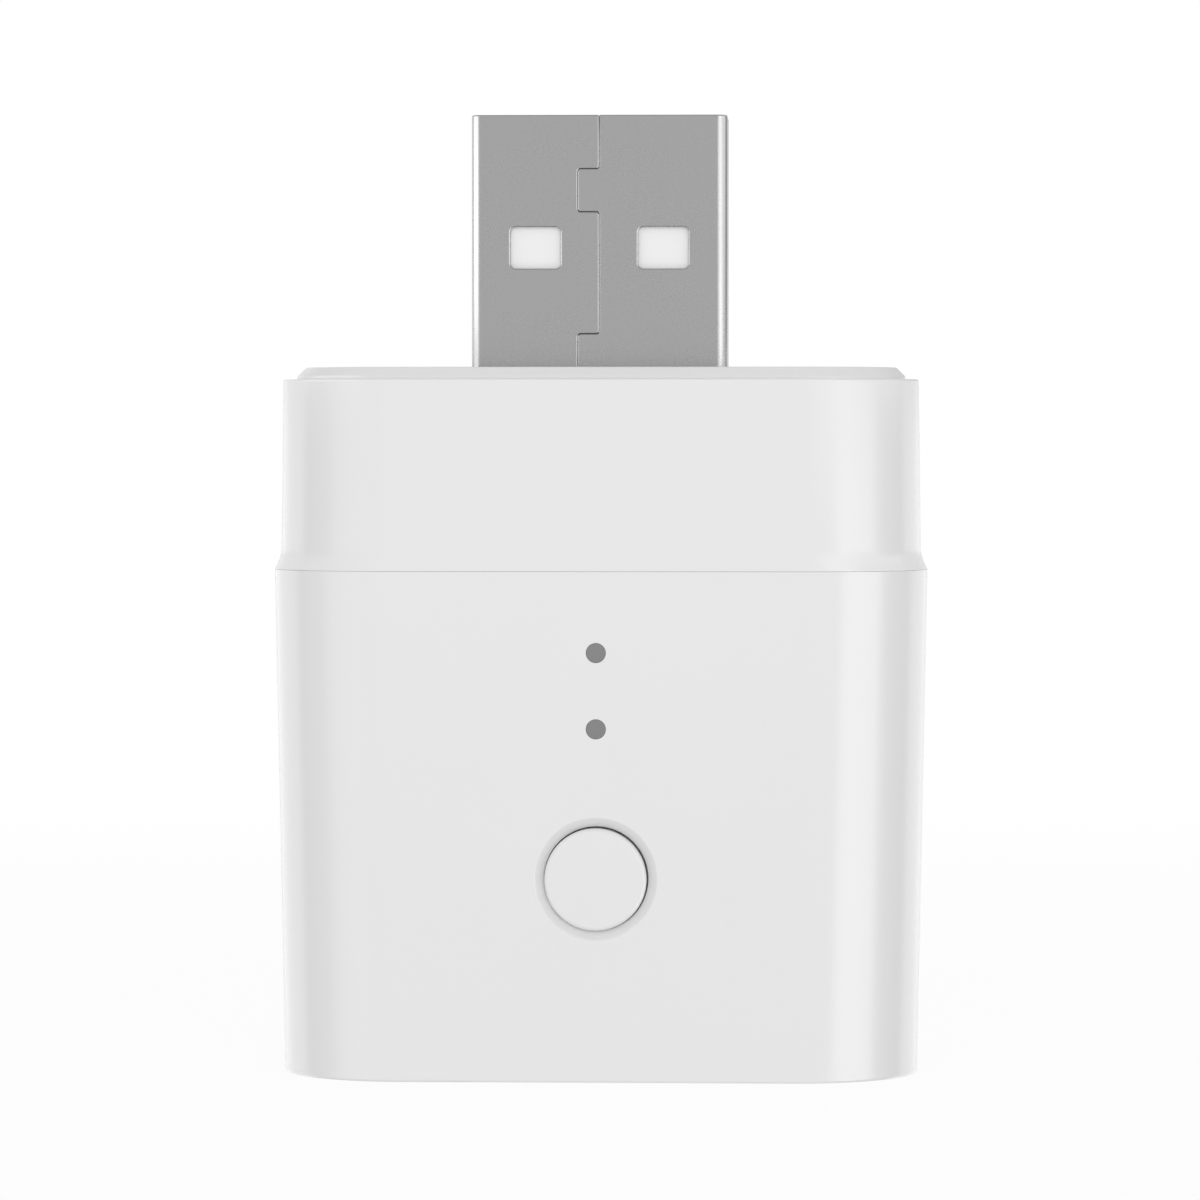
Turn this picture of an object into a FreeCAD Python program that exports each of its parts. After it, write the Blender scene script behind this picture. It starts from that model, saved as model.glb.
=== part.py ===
import FreeCAD, Part
import math
import os

Vector = FreeCAD.Vector

# All sizes are in millimetres. The stick stands on its flat base with the plug up (+Z).
# Its front, with the button and the two dots, faces -Y. The origin is at the middle of the base.

# Outside of the housing
body_width = 30.87
body_depth = 12.0
side_flat = 0.6
lower_height = 23.76
side_draft = 0.468
base_edge = 0.15
seam_gap = 0.02
upper_height = 8.93
shoulder_step = 0.316
shoulder_height = 0.97
neck_draft = 0.105
ledge_width = 0.64
ledge_edge = 0.1
lip_height = 0.56
lip_chamfer = 0.42

# Walls of the housing and the snap joint between its shells
wall = 1.3
floor_thickness = 1.5
ceiling_thickness = 1.6
skirt_depth = 2.0
skirt_wall = 0.9
skirt_fit = 0.05
rebate_depth = 0.2
rebate_relief = 0.1
skirt_root = 1.0
bead_radius = 0.3
bead_length = 4.0
bead_from_middle = 6.5
bead_below_seam = 1.0
bead_clearance = 0.06

# Plug: the folded shell
plug_width = 12.0
plug_height = 4.5
plug_sheet = 0.3
plug_bend = 0.5
plug_exposed = 11.83
plug_length = 18.2
plug_slot_clearance = 0.1
plug_seam = 0.06
seam_jog = 1.0
seam_jog_starts = (2.52, 10.26)
seam_jog_height = 2.02
window_width = 2.42
window_height = 1.9
window_radius = 0.2
window_spacing = 6.0
window_from_tip = 6.25
ear_reach = 1.4
ear_height = 2.0
ear_above_rear = 0.5

# Plug: the insulator and its contacts
tongue_recess = 0.5
tongue_thickness = 1.85
block_height = 8.6
block_rear_inset = 0.3
block_clearance = 0.05
contact_thickness = 0.2
contact_width = 1.0
contact_sink = 0.1
contact_tail = 2.0
power_contact_spacing = 7.0
data_contact_spacing = 2.0
power_contact_inset = 0.9
data_contact_inset = 1.9

# Main board and the rails that hold it
board_thickness = 1.0
board_side_clearance = 0.4
board_end_clearance = 0.1
board_seat_height = 1.0
board_corner = 0.5
board_fit = 0.05
notch_clearance = 0.2
rail_grip = 0.8
rail_rib = 1.0
rail_below_skirt = 1.2

# Button
button_height = 9.49
button_radius = 2.39
button_clearance = 0.04
button_edge = 0.2
button_sink = 0.05
ring_radius = 2.85
ring_depth = 0.38
button_travel = 0.25
button_flange_radius = 3.1
button_flange_thickness = 0.7
button_flange_clearance = 0.05
button_stem_radius = 1.2

# Indicator dots
dot_radius = 0.455
dot_below_seam = 3.79
dot_spacing = 3.54
dot_fit = 0.01
guide_flange_radius = 1.0
guide_flange_thickness = 0.5
guide_tail_radius = 0.75
guide_gap = 0.2
lamp_length = 1.6
lamp_width = 0.8
lamp_base = 0.25
lamp_lens_length = 1.0
lamp_lens = 0.35

# Tactile switch behind the button
switch_size = 4.4
switch_base_height = 1.2
switch_pocket_radius = 1.7
switch_floor = 0.3
switch_cover_thickness = 0.2
switch_corner = 0.4
plunger_radius = 0.8
plunger_clearance = 0.08
plunger_flange_radius = 1.2
plunger_flange_thickness = 0.2
plunger_flange_gap = 0.03
plunger_left_out = 0.3
dome_radius = 1.5
dome_height = 0.3
dome_sheet = 0.08
terminal_width = 0.7
terminal_thickness = 0.15
terminal_rise = 0.5
terminal_foot = 0.6
terminal_inset = 0.5

# Parts on the back of the board
trace_thickness = 0.07
trace_width = 0.5
trace_pitch = 1.6
trace_legs = 7
trace_leg_height = 3.6
trace_from_board_end = 0.7
can_width = 15.0
can_length = 11.0
can_depth = 2.1
can_sheet = 0.2
can_edge = 0.4
can_from_board_end = 5.6
radio_size = 5.0
radio_height = 0.85
radio_from_middle = 3.2
flash_width = 3.0
flash_length = 2.0
crystal_width = 2.5
crystal_length = 2.0
small_chip_height = 0.6
memory_column = 4.2
memory_offset = 3.0
esd_width = 2.9
esd_length = 1.6
esd_height = 1.1

# Parts on the front of the board
supply_margin = 0.3
supply_height = 16.6
regulator_width = 6.5
regulator_length = 3.5
regulator_height = 1.6
regulator_standoff = 0.1
regulator_lead = 1.2
regulator_lead_width = 0.7
regulator_lead_pitch = 2.3
regulator_tab_width = 3.0
lead_thickness = 0.25
capacitor_width = 3.5
capacitor_length = 2.8
capacitor_height = 1.9
capacitor_foot_width = 2.2

# Small chip parts, in rows
chip_length = 1.0
chip_width = 0.5
chip_height = 0.4
chip_cap = 0.2
chip_cap_proud = 0.02
chip_pitch = 1.1
chip_row_count = 4
chip_row_drop = 4.6

# Levels and places that follow from the sizes above
corner_radius = (body_depth - side_flat) / 2
base_width = body_width - 2 * side_draft
seam_level = lower_height + seam_gap
neck_width = body_width - 2 * shoulder_step
ledge_level = seam_level + upper_height
shoulder_level = seam_level + shoulder_height
top_level = ledge_level + lip_height
ceiling_level = top_level - ceiling_thickness
front = -body_depth / 2
front_inside = front + wall
skirt_level = lower_height - skirt_depth
plug_tip = top_level + plug_exposed
plug_rear = plug_tip - plug_length
tail_level = plug_rear - contact_tail
tongue_outer = -plug_height / 2 + plug_sheet
tongue_inner = tongue_outer + tongue_thickness
board_back = tongue_inner - contact_sink
board_front = board_back - board_thickness
board_bottom = floor_thickness + board_seat_height
board_top = ceiling_level - board_end_clearance
rebate_width = body_width - 2 * (wall - rebate_depth)
rebate_back = body_depth - 2 * (wall - rebate_depth)
rebate_radius = corner_radius - wall + rebate_depth
skirt_width = rebate_width - 2 * skirt_fit
skirt_across = rebate_back - 2 * skirt_fit
skirt_radius = rebate_radius - skirt_fit
board_width = skirt_width - 2 * skirt_wall - 2 * board_side_clearance
upper_dot = seam_level - dot_below_seam
dot_heights = {"lower": upper_dot - dot_spacing, "upper": upper_dot}
lamp_front = board_front - lamp_base - lamp_lens
switch_front = board_front - switch_base_height
cover_front = switch_front - switch_cover_thickness
plunger_front = cover_front - plunger_left_out - button_travel
can_level = board_bottom + can_from_board_end
can_middle = can_level + can_length / 2
can_end = can_level + can_length
supply_column = board_width / 2 - rail_grip - supply_margin - regulator_width / 2


# Simple solids that the pieces are made from

def block(x_low, x_high, y_low, y_high, z_low, z_high):
    """A square-edged block between three pairs of planes."""
    size = Vector(x_high - x_low, y_high - y_low, z_high - z_low)
    return Part.makeBox(size.x, size.y, size.z, Vector(x_low, y_low, z_low))


def rod(radius, x, z, y_front, y_back):
    """A round rod that runs from front to back."""
    return Part.makeCylinder(radius, y_back - y_front, Vector(x, y_front, z), Vector(0, 1, 0))


def outline(width, depth, radius, z):
    """A level rectangle with round corners, centred on the stick's axis."""
    centre_x = width / 2 - radius
    centre_y = depth / 2 - radius
    arcs = []
    for side_x, side_y, start in ((1, 1, 0), (-1, 1, 90), (-1, -1, 180), (1, -1, 270)):
        points = []
        for angle in (start, start + 45, start + 90):
            turn = math.radians(angle)
            across = side_x * centre_x + radius * math.cos(turn)
            along = side_y * centre_y + radius * math.sin(turn)
            points.append(Vector(across, along, z))
        arcs.append(points)
    edges = []
    for index, points in enumerate(arcs):
        following = arcs[(index + 1) % len(arcs)]
        edges.append(Part.Arc(points[0], points[1], points[2]).toShape())
        edges.append(Part.LineSegment(points[2], following[0]).toShape())
    return Part.Wire(edges)


def prism(width, depth, radius, z_low, z_high):
    """An upright bar of one outline."""
    face = Part.Face(outline(width, depth, radius, z_low))
    return face.extrude(Vector(0, 0, z_high - z_low))


def taper(low, high):
    """A straight-sided solid between two outlines."""
    return Part.makeLoft([low, high], True, True)


def upright_plate(x, z, width, height, radius, y_low, y_high):
    """A plate that faces front, with round corners."""
    plate = prism(width, height, radius, 0, y_high - y_low)
    plate.rotate(Vector(0, 0, 0), Vector(1, 0, 0), 90)
    plate.translate(Vector(x, y_high, z))
    return plate


def joined(shapes):
    """One solid from shapes that overlap or meet."""
    whole = shapes[0].fuse(shapes[1:])
    return whole.removeSplitter()


def level_edges(shape, z):
    """The edges of a shape that lie in the plane at height z."""
    found = []
    for edge in shape.Edges:
        box = edge.BoundBox
        if abs(box.ZMin - z) < 1e-4 and abs(box.ZMax - z) < 1e-4:
            found.append(edge)
    return found


# Housing

def lower_width(z):
    """Width of the lower shell at height z: its sides lean in towards the base."""
    return base_width + 2 * side_draft * z / lower_height


def rails():
    """The two grooved rails inside the lower shell that the board slides down."""
    board_half = board_width / 2
    top = skirt_level - rail_below_skirt
    pair = []
    for side in (-1, 1):
        inner = side * (board_half - rail_grip)
        outer = side * (lower_width(floor_thickness) / 2 - wall / 2)
        rib_front = board_front - board_fit - rail_rib
        rib_back = board_back + board_fit + rail_rib
        rail = block(min(inner, outer), max(inner, outer), rib_front, rib_back, floor_thickness / 2, top)
        edge = side * (board_half + board_fit)
        groove = block(
            min(0, edge), max(0, edge), board_front - board_fit, board_back + board_fit, board_bottom, top
        )
        pair.append(rail.cut(groove))
    return pair


def snap_beads(radius):
    """Ridges on the skirt's front and back. A larger radius gives the grooves that they click into."""
    level = lower_height - bead_below_seam
    length = bead_length + 2 * (radius - bead_radius)
    beads = []
    for face in (-1, 1):
        for side in (-1, 1):
            start = Vector(side * bead_from_middle - length / 2, face * skirt_across / 2, level)
            beads.append(Part.makeCylinder(radius, length, start, Vector(1, 0, 0)))
    return beads


def make_lower_shell():
    outside = taper(
        outline(base_width, body_depth, corner_radius, 0),
        outline(body_width, body_depth, corner_radius, lower_height),
    )
    outside = outside.makeFillet(base_edge, level_edges(outside, 0))
    depth_inside = body_depth - 2 * wall
    radius_inside = corner_radius - wall
    hollow = taper(
        outline(lower_width(floor_thickness) - 2 * wall, depth_inside, radius_inside, floor_thickness),
        outline(body_width - 2 * wall, depth_inside, radius_inside, lower_height),
    )
    rebate = prism(
        rebate_width, rebate_back, rebate_radius, skirt_level - rebate_relief, lower_height
    )
    shell = outside.cut(hollow.fuse(rebate))
    shell = joined([shell] + rails())
    shell = shell.cut(snap_beads(bead_radius + bead_clearance))
    hole_radius = button_radius + button_clearance
    shell = shell.cut(rod(hole_radius, 0, button_height, front, front_inside))
    ring = Part.makeCone(
        ring_radius, hole_radius, ring_depth, Vector(0, front, button_height), Vector(0, 1, 0)
    )
    shell = shell.cut(ring)
    for height in dot_heights.values():
        shell = shell.cut(rod(dot_radius + dot_fit, 0, height, front, front_inside))
    return shell


def shoulder():
    """The flare at the foot of the upper shell: a hollow curve out to the seam, at the sides only."""
    sections = []
    for share in (0, 0.35, 0.7, 1):
        width = neck_width + 2 * shoulder_step * (1 - share) ** 1.6
        sections.append(outline(width, body_depth, corner_radius, seam_level + share * shoulder_height))
    return Part.makeLoft(sections, True, False)


def make_upper_shell():
    ledge_across = neck_width - 2 * neck_draft
    neck = taper(
        outline(neck_width, body_depth, corner_radius, shoulder_level),
        outline(ledge_across, body_depth, corner_radius, ledge_level),
    )
    neck = neck.makeFillet(ledge_edge, level_edges(neck, ledge_level))
    lip_width = ledge_across - 2 * ledge_width
    lip_across = body_depth - 2 * ledge_width
    lip_radius = corner_radius - ledge_width
    chamfer_level = top_level - lip_chamfer
    lip_foot = prism(lip_width, lip_across, lip_radius, shoulder_level, chamfer_level)
    lip_top = taper(
        outline(lip_width, lip_across, lip_radius, chamfer_level),
        outline(
            lip_width - 2 * lip_chamfer, lip_across - 2 * lip_chamfer, lip_radius - lip_chamfer, top_level
        ),
    )
    outside = joined([shoulder(), neck, lip_foot, lip_top])
    hollow = prism(
        ledge_across - 2 * wall, body_depth - 2 * wall, corner_radius - wall, seam_level, ceiling_level
    )
    shell = outside.cut(hollow)
    skirt_top = seam_level + skirt_root
    skirt = prism(skirt_width, skirt_across, skirt_radius, skirt_level, skirt_top)
    skirt_bore = prism(
        skirt_width - 2 * skirt_wall,
        skirt_across - 2 * skirt_wall,
        skirt_radius - skirt_wall,
        skirt_level,
        skirt_top,
    )
    beads = [bead.cut(skirt_bore) for bead in snap_beads(bead_radius)]
    shell = joined([shell, skirt.cut(skirt_bore)] + beads)
    slot = prism(
        plug_width + 2 * plug_slot_clearance,
        plug_height + 2 * plug_slot_clearance,
        plug_bend + plug_slot_clearance,
        ceiling_level,
        top_level,
    )
    return shell.cut(slot)


# Button and indicator dots

def make_button_cap():
    face = front + button_sink
    flange_front = front_inside + button_flange_clearance
    flange_back = flange_front + button_flange_thickness
    cap = rod(button_radius, 0, button_height, face, flange_front)
    rim = [edge for edge in cap.Edges if edge.BoundBox.YMax < face + 1e-4]
    cap = cap.makeFillet(button_edge, rim)
    flange = rod(button_flange_radius, 0, button_height, flange_front, flange_back)
    stem = rod(button_stem_radius, 0, button_height, flange_front, plunger_front)
    return joined([cap, flange, stem])


def make_light_guide(height):
    pin = rod(dot_radius, 0, height, front, front_inside)
    flange_back = front_inside + guide_flange_thickness
    flange = rod(guide_flange_radius, 0, height, front_inside, flange_back)
    tail = rod(guide_tail_radius, 0, height, front_inside, lamp_front - guide_gap)
    return joined([pin, flange, tail])


def make_status_led(height):
    base = block(
        -lamp_length / 2, lamp_length / 2, board_front - lamp_base, board_front,
        height - lamp_width / 2, height + lamp_width / 2,
    )
    lens = block(
        -lamp_lens_length / 2, lamp_lens_length / 2, lamp_front, board_front,
        height - lamp_width / 2, height + lamp_width / 2,
    )
    return joined([base, lens])


# Plug

def make_usb_shell():
    shell = prism(plug_width, plug_height, plug_bend, plug_rear, plug_tip)
    shell = shell.cut(
        prism(
            plug_width - 2 * plug_sheet, plug_height - 2 * plug_sheet, plug_bend - plug_sheet,
            plug_rear, plug_tip,
        )
    )
    window_level = plug_tip - window_from_tip
    for side in (-1, 1):
        shell = shell.cut(
            upright_plate(
                side * window_spacing / 2, window_level, window_width, window_height, window_radius,
                -plug_height, plug_height,
            )
        )
    ear_low = plug_rear + ear_above_rear
    ears = []
    for side in (-1, 1):
        inner = side * (plug_width / 2 - plug_sheet)
        outer = side * (plug_width / 2 + ear_reach)
        ear = block(
            min(inner, outer), max(inner, outer), board_back, board_back + plug_sheet,
            ear_low, ear_low + ear_height,
        )
        ears.append(ear)
    shell = joined([shell] + ears)
    return shell.cut(seam_cut())


def seam_cut():
    """The fine gap where the folded sheet meets itself in front, with its two dovetail steps."""
    half = plug_seam / 2
    face = -plug_height / 2
    inside = face + plug_sheet
    start = plug_tip
    runs = []
    for distance in seam_jog_starts:
        top = plug_tip - distance
        bottom = max(top - seam_jog_height, plug_rear)
        runs.append(block(-half, half, face, inside, top - half, start))
        runs.append(block(-seam_jog - half, half, face, inside, top - half, top + half))
        runs.append(block(-seam_jog - half, -seam_jog + half, face, inside, bottom - half, top + half))
        runs.append(block(-seam_jog - half, half, face, inside, bottom - half, bottom + half))
        start = bottom + half
    runs.append(block(-half, half, face, inside, plug_rear, start))
    return joined(runs)


def make_contact(x, inset):
    """One contact: a flat strip along the tongue, whose tail lies on the back of the board."""
    half = contact_width / 2
    strip_end = plug_tip - tongue_recess - inset
    return block(x - half, x + half, board_back, board_back + contact_thickness, tail_level, strip_end)


def make_usb_insulator(contacts):
    """The white moulding inside the plug: a block at the back and a tongue along the front wall."""
    block_low = plug_rear + block_rear_inset
    block_high = block_low + block_height
    body = prism(
        plug_width - 2 * (plug_sheet + block_clearance),
        plug_height - 2 * (plug_sheet + block_clearance),
        plug_bend - plug_sheet,
        block_low,
        block_high,
    )
    tongue_half = plug_width / 2 - plug_bend
    tongue_low = block_high - block_clearance
    tongue = block(
        -tongue_half, tongue_half, tongue_outer, tongue_inner, tongue_low, plug_tip - tongue_recess
    )
    return joined([tongue, body]).cut(contacts)


# Board

def make_main_board():
    """An upright plate with a deep notch at its upper end, in which the rear of the plug lies."""
    height = board_top - board_bottom
    middle = (board_top + board_bottom) / 2
    board = upright_plate(0, middle, board_width, height, board_corner, board_front, board_back)
    notch_half = plug_width / 2 + notch_clearance
    notch_low = plug_rear - notch_clearance
    return board.cut(block(-notch_half, notch_half, board_front, board_back, notch_low, board_top))


def on_back(x, z, width, length, height):
    """A block that lies on the back of the board, centred at x and z."""
    far = board_back + height
    return block(x - width / 2, x + width / 2, board_back, far, z - length / 2, z + length / 2)


def on_front(x, z, width, length, height, lift=0):
    """A block that lies on the front of the board, or stands off it by lift."""
    near = board_front - lift
    return block(x - width / 2, x + width / 2, near - height, near, z - length / 2, z + length / 2)


def make_antenna_trace():
    low = board_bottom + trace_from_board_end
    high = low + trace_leg_height
    start = -trace_pitch * (trace_legs - 1) / 2
    pieces = []
    for index in range(trace_legs):
        x = start + index * trace_pitch
        pieces.append(on_back(x, (low + high) / 2, trace_width, trace_leg_height, trace_thickness))
        if index < trace_legs - 1:
            level = high - trace_width / 2 if index % 2 else low + trace_width / 2
            link_width = trace_pitch + trace_width
            pieces.append(on_back(x + trace_pitch / 2, level, link_width, trace_width, trace_thickness))
    feed_top = can_level - can_sheet
    feed = on_back(start, (low + feed_top) / 2, trace_width, feed_top - low, trace_thickness)
    return joined(pieces + [feed])


def make_shield_can():
    can = on_back(0, can_middle, can_width, can_length, can_depth)
    outer_edges = [edge for edge in can.Edges if edge.BoundBox.YMin > board_back + can_depth - 1e-4]
    can = can.makeFillet(can_edge, outer_edges)
    inside_width = can_width - 2 * can_sheet
    inside_length = can_length - 2 * can_sheet
    return can.cut(on_back(0, can_middle, inside_width, inside_length, can_depth - can_sheet))


def make_esd_protector():
    z = (can_end + tail_level) / 2
    body = on_back(0, z, esd_width, esd_length, esd_height)
    legs = []
    for column in (-1, 0, 1):
        x = column * (esd_width - regulator_lead_width) / 2
        legs.append(
            on_back(x, z, regulator_lead_width / 2, esd_length + 2 * lead_thickness, lead_thickness)
        )
    return joined([body] + legs)


def make_voltage_regulator():
    x = -supply_column
    z = supply_height
    shapes = [on_front(x, z, regulator_width, regulator_length, regulator_height, regulator_standoff)]
    lead_middle = z - regulator_length / 2
    for column in (-1, 0, 1):
        lead_x = x + column * regulator_lead_pitch
        shapes.append(
            on_front(lead_x, lead_middle, regulator_lead_width, 2 * regulator_lead, lead_thickness)
        )
    shapes.append(
        on_front(x, z + regulator_length / 2, regulator_tab_width, 2 * regulator_lead, lead_thickness)
    )
    return joined(shapes)


def make_input_capacitor():
    x = supply_column
    shapes = [
        on_front(x, supply_height, capacitor_width, capacitor_length, capacitor_height, regulator_standoff)
    ]
    for side in (-1, 1):
        foot_x = x + side * capacitor_width / 2
        foot_width = regulator_lead_width
        foot_length = capacitor_foot_width
        shapes.append(on_front(foot_x, supply_height, foot_width, foot_length, capacitor_height / 2))
    return joined(shapes)


def chip_part(x, z):
    """One small passive part with metal caps at its two ends, on the front of the board."""
    body = on_front(x, z, chip_width, chip_length, chip_height)
    caps = []
    for side in (-1, 1):
        cap_z = z + side * (chip_length - chip_cap) / 2
        caps.append(on_front(x, cap_z, chip_width, chip_cap, chip_height + chip_cap_proud))
    return joined([body] + caps)


def chip_row(middle):
    """A row of small parts below the supply parts, centred at x = middle."""
    start = middle - chip_pitch * (chip_row_count - 1) / 2
    level = supply_height - chip_row_drop
    return Part.makeCompound(
        [chip_part(start + index * chip_pitch, level) for index in range(chip_row_count)]
    )


# Tactile switch

def make_switch_base():
    base = upright_plate(
        0, button_height, switch_size, switch_size, switch_corner, switch_front, board_front
    )
    return base.cut(rod(switch_pocket_radius, 0, button_height, switch_front, board_front - switch_floor))


def make_switch_cover():
    cover = upright_plate(
        0, button_height, switch_size, switch_size, switch_corner, cover_front, switch_front
    )
    return cover.cut(rod(plunger_radius + plunger_clearance, 0, button_height, cover_front, switch_front))


def make_switch_plunger():
    flange_front = switch_front + plunger_flange_gap
    flange_back = flange_front + plunger_flange_thickness
    shaft = rod(plunger_radius, 0, button_height, plunger_front, flange_back)
    return joined([shaft, rod(plunger_flange_radius, 0, button_height, flange_front, flange_back)])


def make_switch_dome():
    """A thin round dome of spring metal that stands on the floor of the switch's pocket."""
    sphere_radius = (dome_radius ** 2 + dome_height ** 2) / (2 * dome_height)
    rim = board_front - switch_floor
    centre = Vector(0, rim - dome_height + sphere_radius, button_height)
    outer = Part.makeSphere(sphere_radius, centre)
    inner = Part.makeSphere(sphere_radius - dome_sheet, centre)
    keep = rod(dome_radius, 0, button_height, rim - 2 * dome_height, rim)
    return outer.cut(inner).common(keep)


def make_switch_terminals():
    terminals = []
    half_base = switch_size / 2
    for side in (-1, 1):
        for row in (-1, 1):
            z = button_height + row * (half_base - terminal_inset - terminal_width / 2)
            foot_end = half_base + terminal_foot
            foot_x = side * (half_base + foot_end) / 2
            foot = on_front(foot_x, z, terminal_foot, terminal_width, terminal_thickness)
            rise_x = side * (half_base + terminal_thickness / 2)
            rise = on_front(rise_x, z, terminal_thickness, terminal_width, terminal_rise)
            terminals.append(joined([foot, rise]))
    return Part.makeCompound(terminals)


# The whole stick, one solid or group of solids to each piece

def make_pieces():
    contacts = {
        "usb_contact_power": (power_contact_spacing / 2, power_contact_inset),
        "usb_contact_data_minus": (data_contact_spacing / 2, data_contact_inset),
        "usb_contact_data_plus": (-data_contact_spacing / 2, data_contact_inset),
        "usb_contact_ground": (-power_contact_spacing / 2, power_contact_inset),
    }
    pieces = {name: make_contact(x, inset) for name, (x, inset) in contacts.items()}
    contact_solids = list(pieces.values())
    pieces["usb_insulator"] = make_usb_insulator(contact_solids)
    pieces["usb_shell"] = make_usb_shell()
    pieces["lower_shell"] = make_lower_shell()
    pieces["upper_shell"] = make_upper_shell()
    pieces["button_cap"] = make_button_cap()
    for place, height in dot_heights.items():
        pieces["light_guide_" + place] = make_light_guide(height)
        pieces["status_led_" + place] = make_status_led(height)
    pieces["main_board"] = make_main_board()
    pieces["antenna_trace"] = make_antenna_trace()
    pieces["shield_can"] = make_shield_can()
    pieces["radio_chip"] = on_back(-radio_from_middle, can_middle, radio_size, radio_size, radio_height)
    pieces["flash_chip"] = on_back(
        memory_column, can_middle - memory_offset, flash_width, flash_length, small_chip_height
    )
    pieces["crystal"] = on_back(
        memory_column, can_middle + memory_offset, crystal_width, crystal_length, small_chip_height
    )
    pieces["esd_protector"] = make_esd_protector()
    pieces["voltage_regulator"] = make_voltage_regulator()
    pieces["input_capacitor"] = make_input_capacitor()
    pieces["chip_resistors"] = chip_row(-supply_column)
    pieces["chip_capacitors"] = chip_row(supply_column)
    pieces["switch_base"] = make_switch_base()
    pieces["switch_cover"] = make_switch_cover()
    pieces["switch_plunger"] = make_switch_plunger()
    pieces["switch_dome"] = make_switch_dome()
    pieces["switch_terminals"] = make_switch_terminals()
    return pieces


os.makedirs("parts", exist_ok=True)
for name, shape in make_pieces().items():
    shape.exportStep("parts/" + name + ".step")
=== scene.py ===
import math

import bmesh
import bpy
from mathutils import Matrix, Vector


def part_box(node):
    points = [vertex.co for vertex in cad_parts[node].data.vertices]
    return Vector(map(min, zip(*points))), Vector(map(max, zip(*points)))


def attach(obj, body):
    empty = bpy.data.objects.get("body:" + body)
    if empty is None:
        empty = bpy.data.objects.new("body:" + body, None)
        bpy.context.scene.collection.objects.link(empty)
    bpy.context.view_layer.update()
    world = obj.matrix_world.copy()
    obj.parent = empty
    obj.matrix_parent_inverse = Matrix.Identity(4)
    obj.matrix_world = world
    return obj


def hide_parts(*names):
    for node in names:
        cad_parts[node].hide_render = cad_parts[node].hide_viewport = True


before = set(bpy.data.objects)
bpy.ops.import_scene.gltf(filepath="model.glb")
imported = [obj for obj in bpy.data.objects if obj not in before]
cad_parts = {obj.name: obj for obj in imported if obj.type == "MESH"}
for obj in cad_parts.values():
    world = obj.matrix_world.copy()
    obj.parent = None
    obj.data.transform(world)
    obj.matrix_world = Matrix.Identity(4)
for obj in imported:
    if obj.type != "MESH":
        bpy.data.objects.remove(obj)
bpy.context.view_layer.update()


# Lower shell
# The taller of the two housing shells: one injection-moulded cup of white plastic that stands on its flat
# floor. The skirt of the upper shell clicks into its rim, two grooved rails inside hold the board's edges,
# and its front has the button's hole in a shallow ring and the two small holes for the light guides.

mm = 0.001
micrometre = 0.001 * mm
square_on = 0.999
cutter_reach = 1.0
sharp_angle = 35
side_flat = 0.6
side_draft = 0.468
base_edge = 0.15
seam_edge = 0.012
shell_wall = 1.3
shell_floor = 1.5
rebate_depth = 0.2
rebate_below_seam = 2.1
skirt_fit = 0.05
corner_steps = 32
bead_radius = 0.3
bead_length = 4.0
bead_from_middle = 6.5
bead_below_seam = 1.0
bead_clearance = 0.06
rail_grip = 0.8
rail_rib = 1.0
rail_fit = 0.05
rail_top = 20.56
ring_radius = 2.85
ring_depth = 0.46
ring_rounding = 0.09
button_radius = 2.38
button_clearance = 0.05
dot_radius = 0.455
dot_fit = 0.01
turning_steps = 128


def near(first, second):
    """Whether two places are the same to a micrometre."""
    return abs(first - second) < micrometre


def clear_selection():
    """Ends the editing of a mesh and leaves nothing selected."""
    if bpy.context.object and bpy.context.object.mode == "EDIT":
        bpy.ops.object.mode_set(mode="OBJECT")
    bpy.ops.object.select_all(action="DESELECT")


def start_box(name, low, high):
    """A box between two corners in millimetres, alone in the selection and open for editing."""
    clear_selection()
    middle = [(a + b) / 2 * mm for a, b in zip(low, high)]
    size = [(b - a) * mm for a, b in zip(low, high)]
    bpy.ops.mesh.primitive_cube_add(size=1, location=middle)
    piece = bpy.context.object
    piece.name = name
    piece.scale = size
    bpy.ops.object.transform_apply(location=True, rotation=False, scale=True)
    bpy.ops.object.mode_set(mode="EDIT")
    return piece


def pick_verts(piece, wanted):
    """Selects the vertices whose place passes the test."""
    bpy.ops.mesh.select_mode(type="VERT")
    bpy.ops.mesh.select_all(action="DESELECT")
    mesh = bmesh.from_edit_mesh(piece.data)
    for vert in mesh.verts:
        vert.select_set(wanted(vert.co))
    mesh.select_flush_mode()
    bmesh.update_edit_mesh(piece.data)


def pick_edges(piece, wanted):
    """Selects the edges whose two ends pass the test."""
    bpy.ops.mesh.select_mode(type="EDGE")
    bpy.ops.mesh.select_all(action="DESELECT")
    mesh = bmesh.from_edit_mesh(piece.data)
    for edge in mesh.edges:
        edge.select_set(wanted(edge.verts[0].co, edge.verts[1].co))
    mesh.select_flush_mode()
    bmesh.update_edit_mesh(piece.data)


def pick_faces(piece, wanted):
    """Selects the faces whose middle and normal pass the test."""
    bpy.ops.mesh.select_mode(type="FACE")
    bpy.ops.mesh.select_all(action="DESELECT")
    mesh = bmesh.from_edit_mesh(piece.data)
    for face in mesh.faces:
        face.select_set(wanted(face.calc_center_median(), face.normal))
    mesh.select_flush_mode()
    bmesh.update_edit_mesh(piece.data)


def bevel(width, steps):
    """Rounds the selected edges."""
    bpy.ops.mesh.bevel(offset=width * mm, segments=steps, affect="EDGES", clamp_overlap=False)


def round_upright_edges(piece, radius, steps):
    """Rounds the edges that stand upright."""
    pick_edges(piece, lambda a, b: near(a.x, b.x) and near(a.y, b.y))
    bevel(radius, steps)


def soften_rim(piece, level, width, steps):
    """Rounds all the edges that lie level at one height."""
    pick_edges(piece, lambda a, b: near(a.z, level * mm) and near(b.z, level * mm))
    bevel(width, steps)


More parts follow.
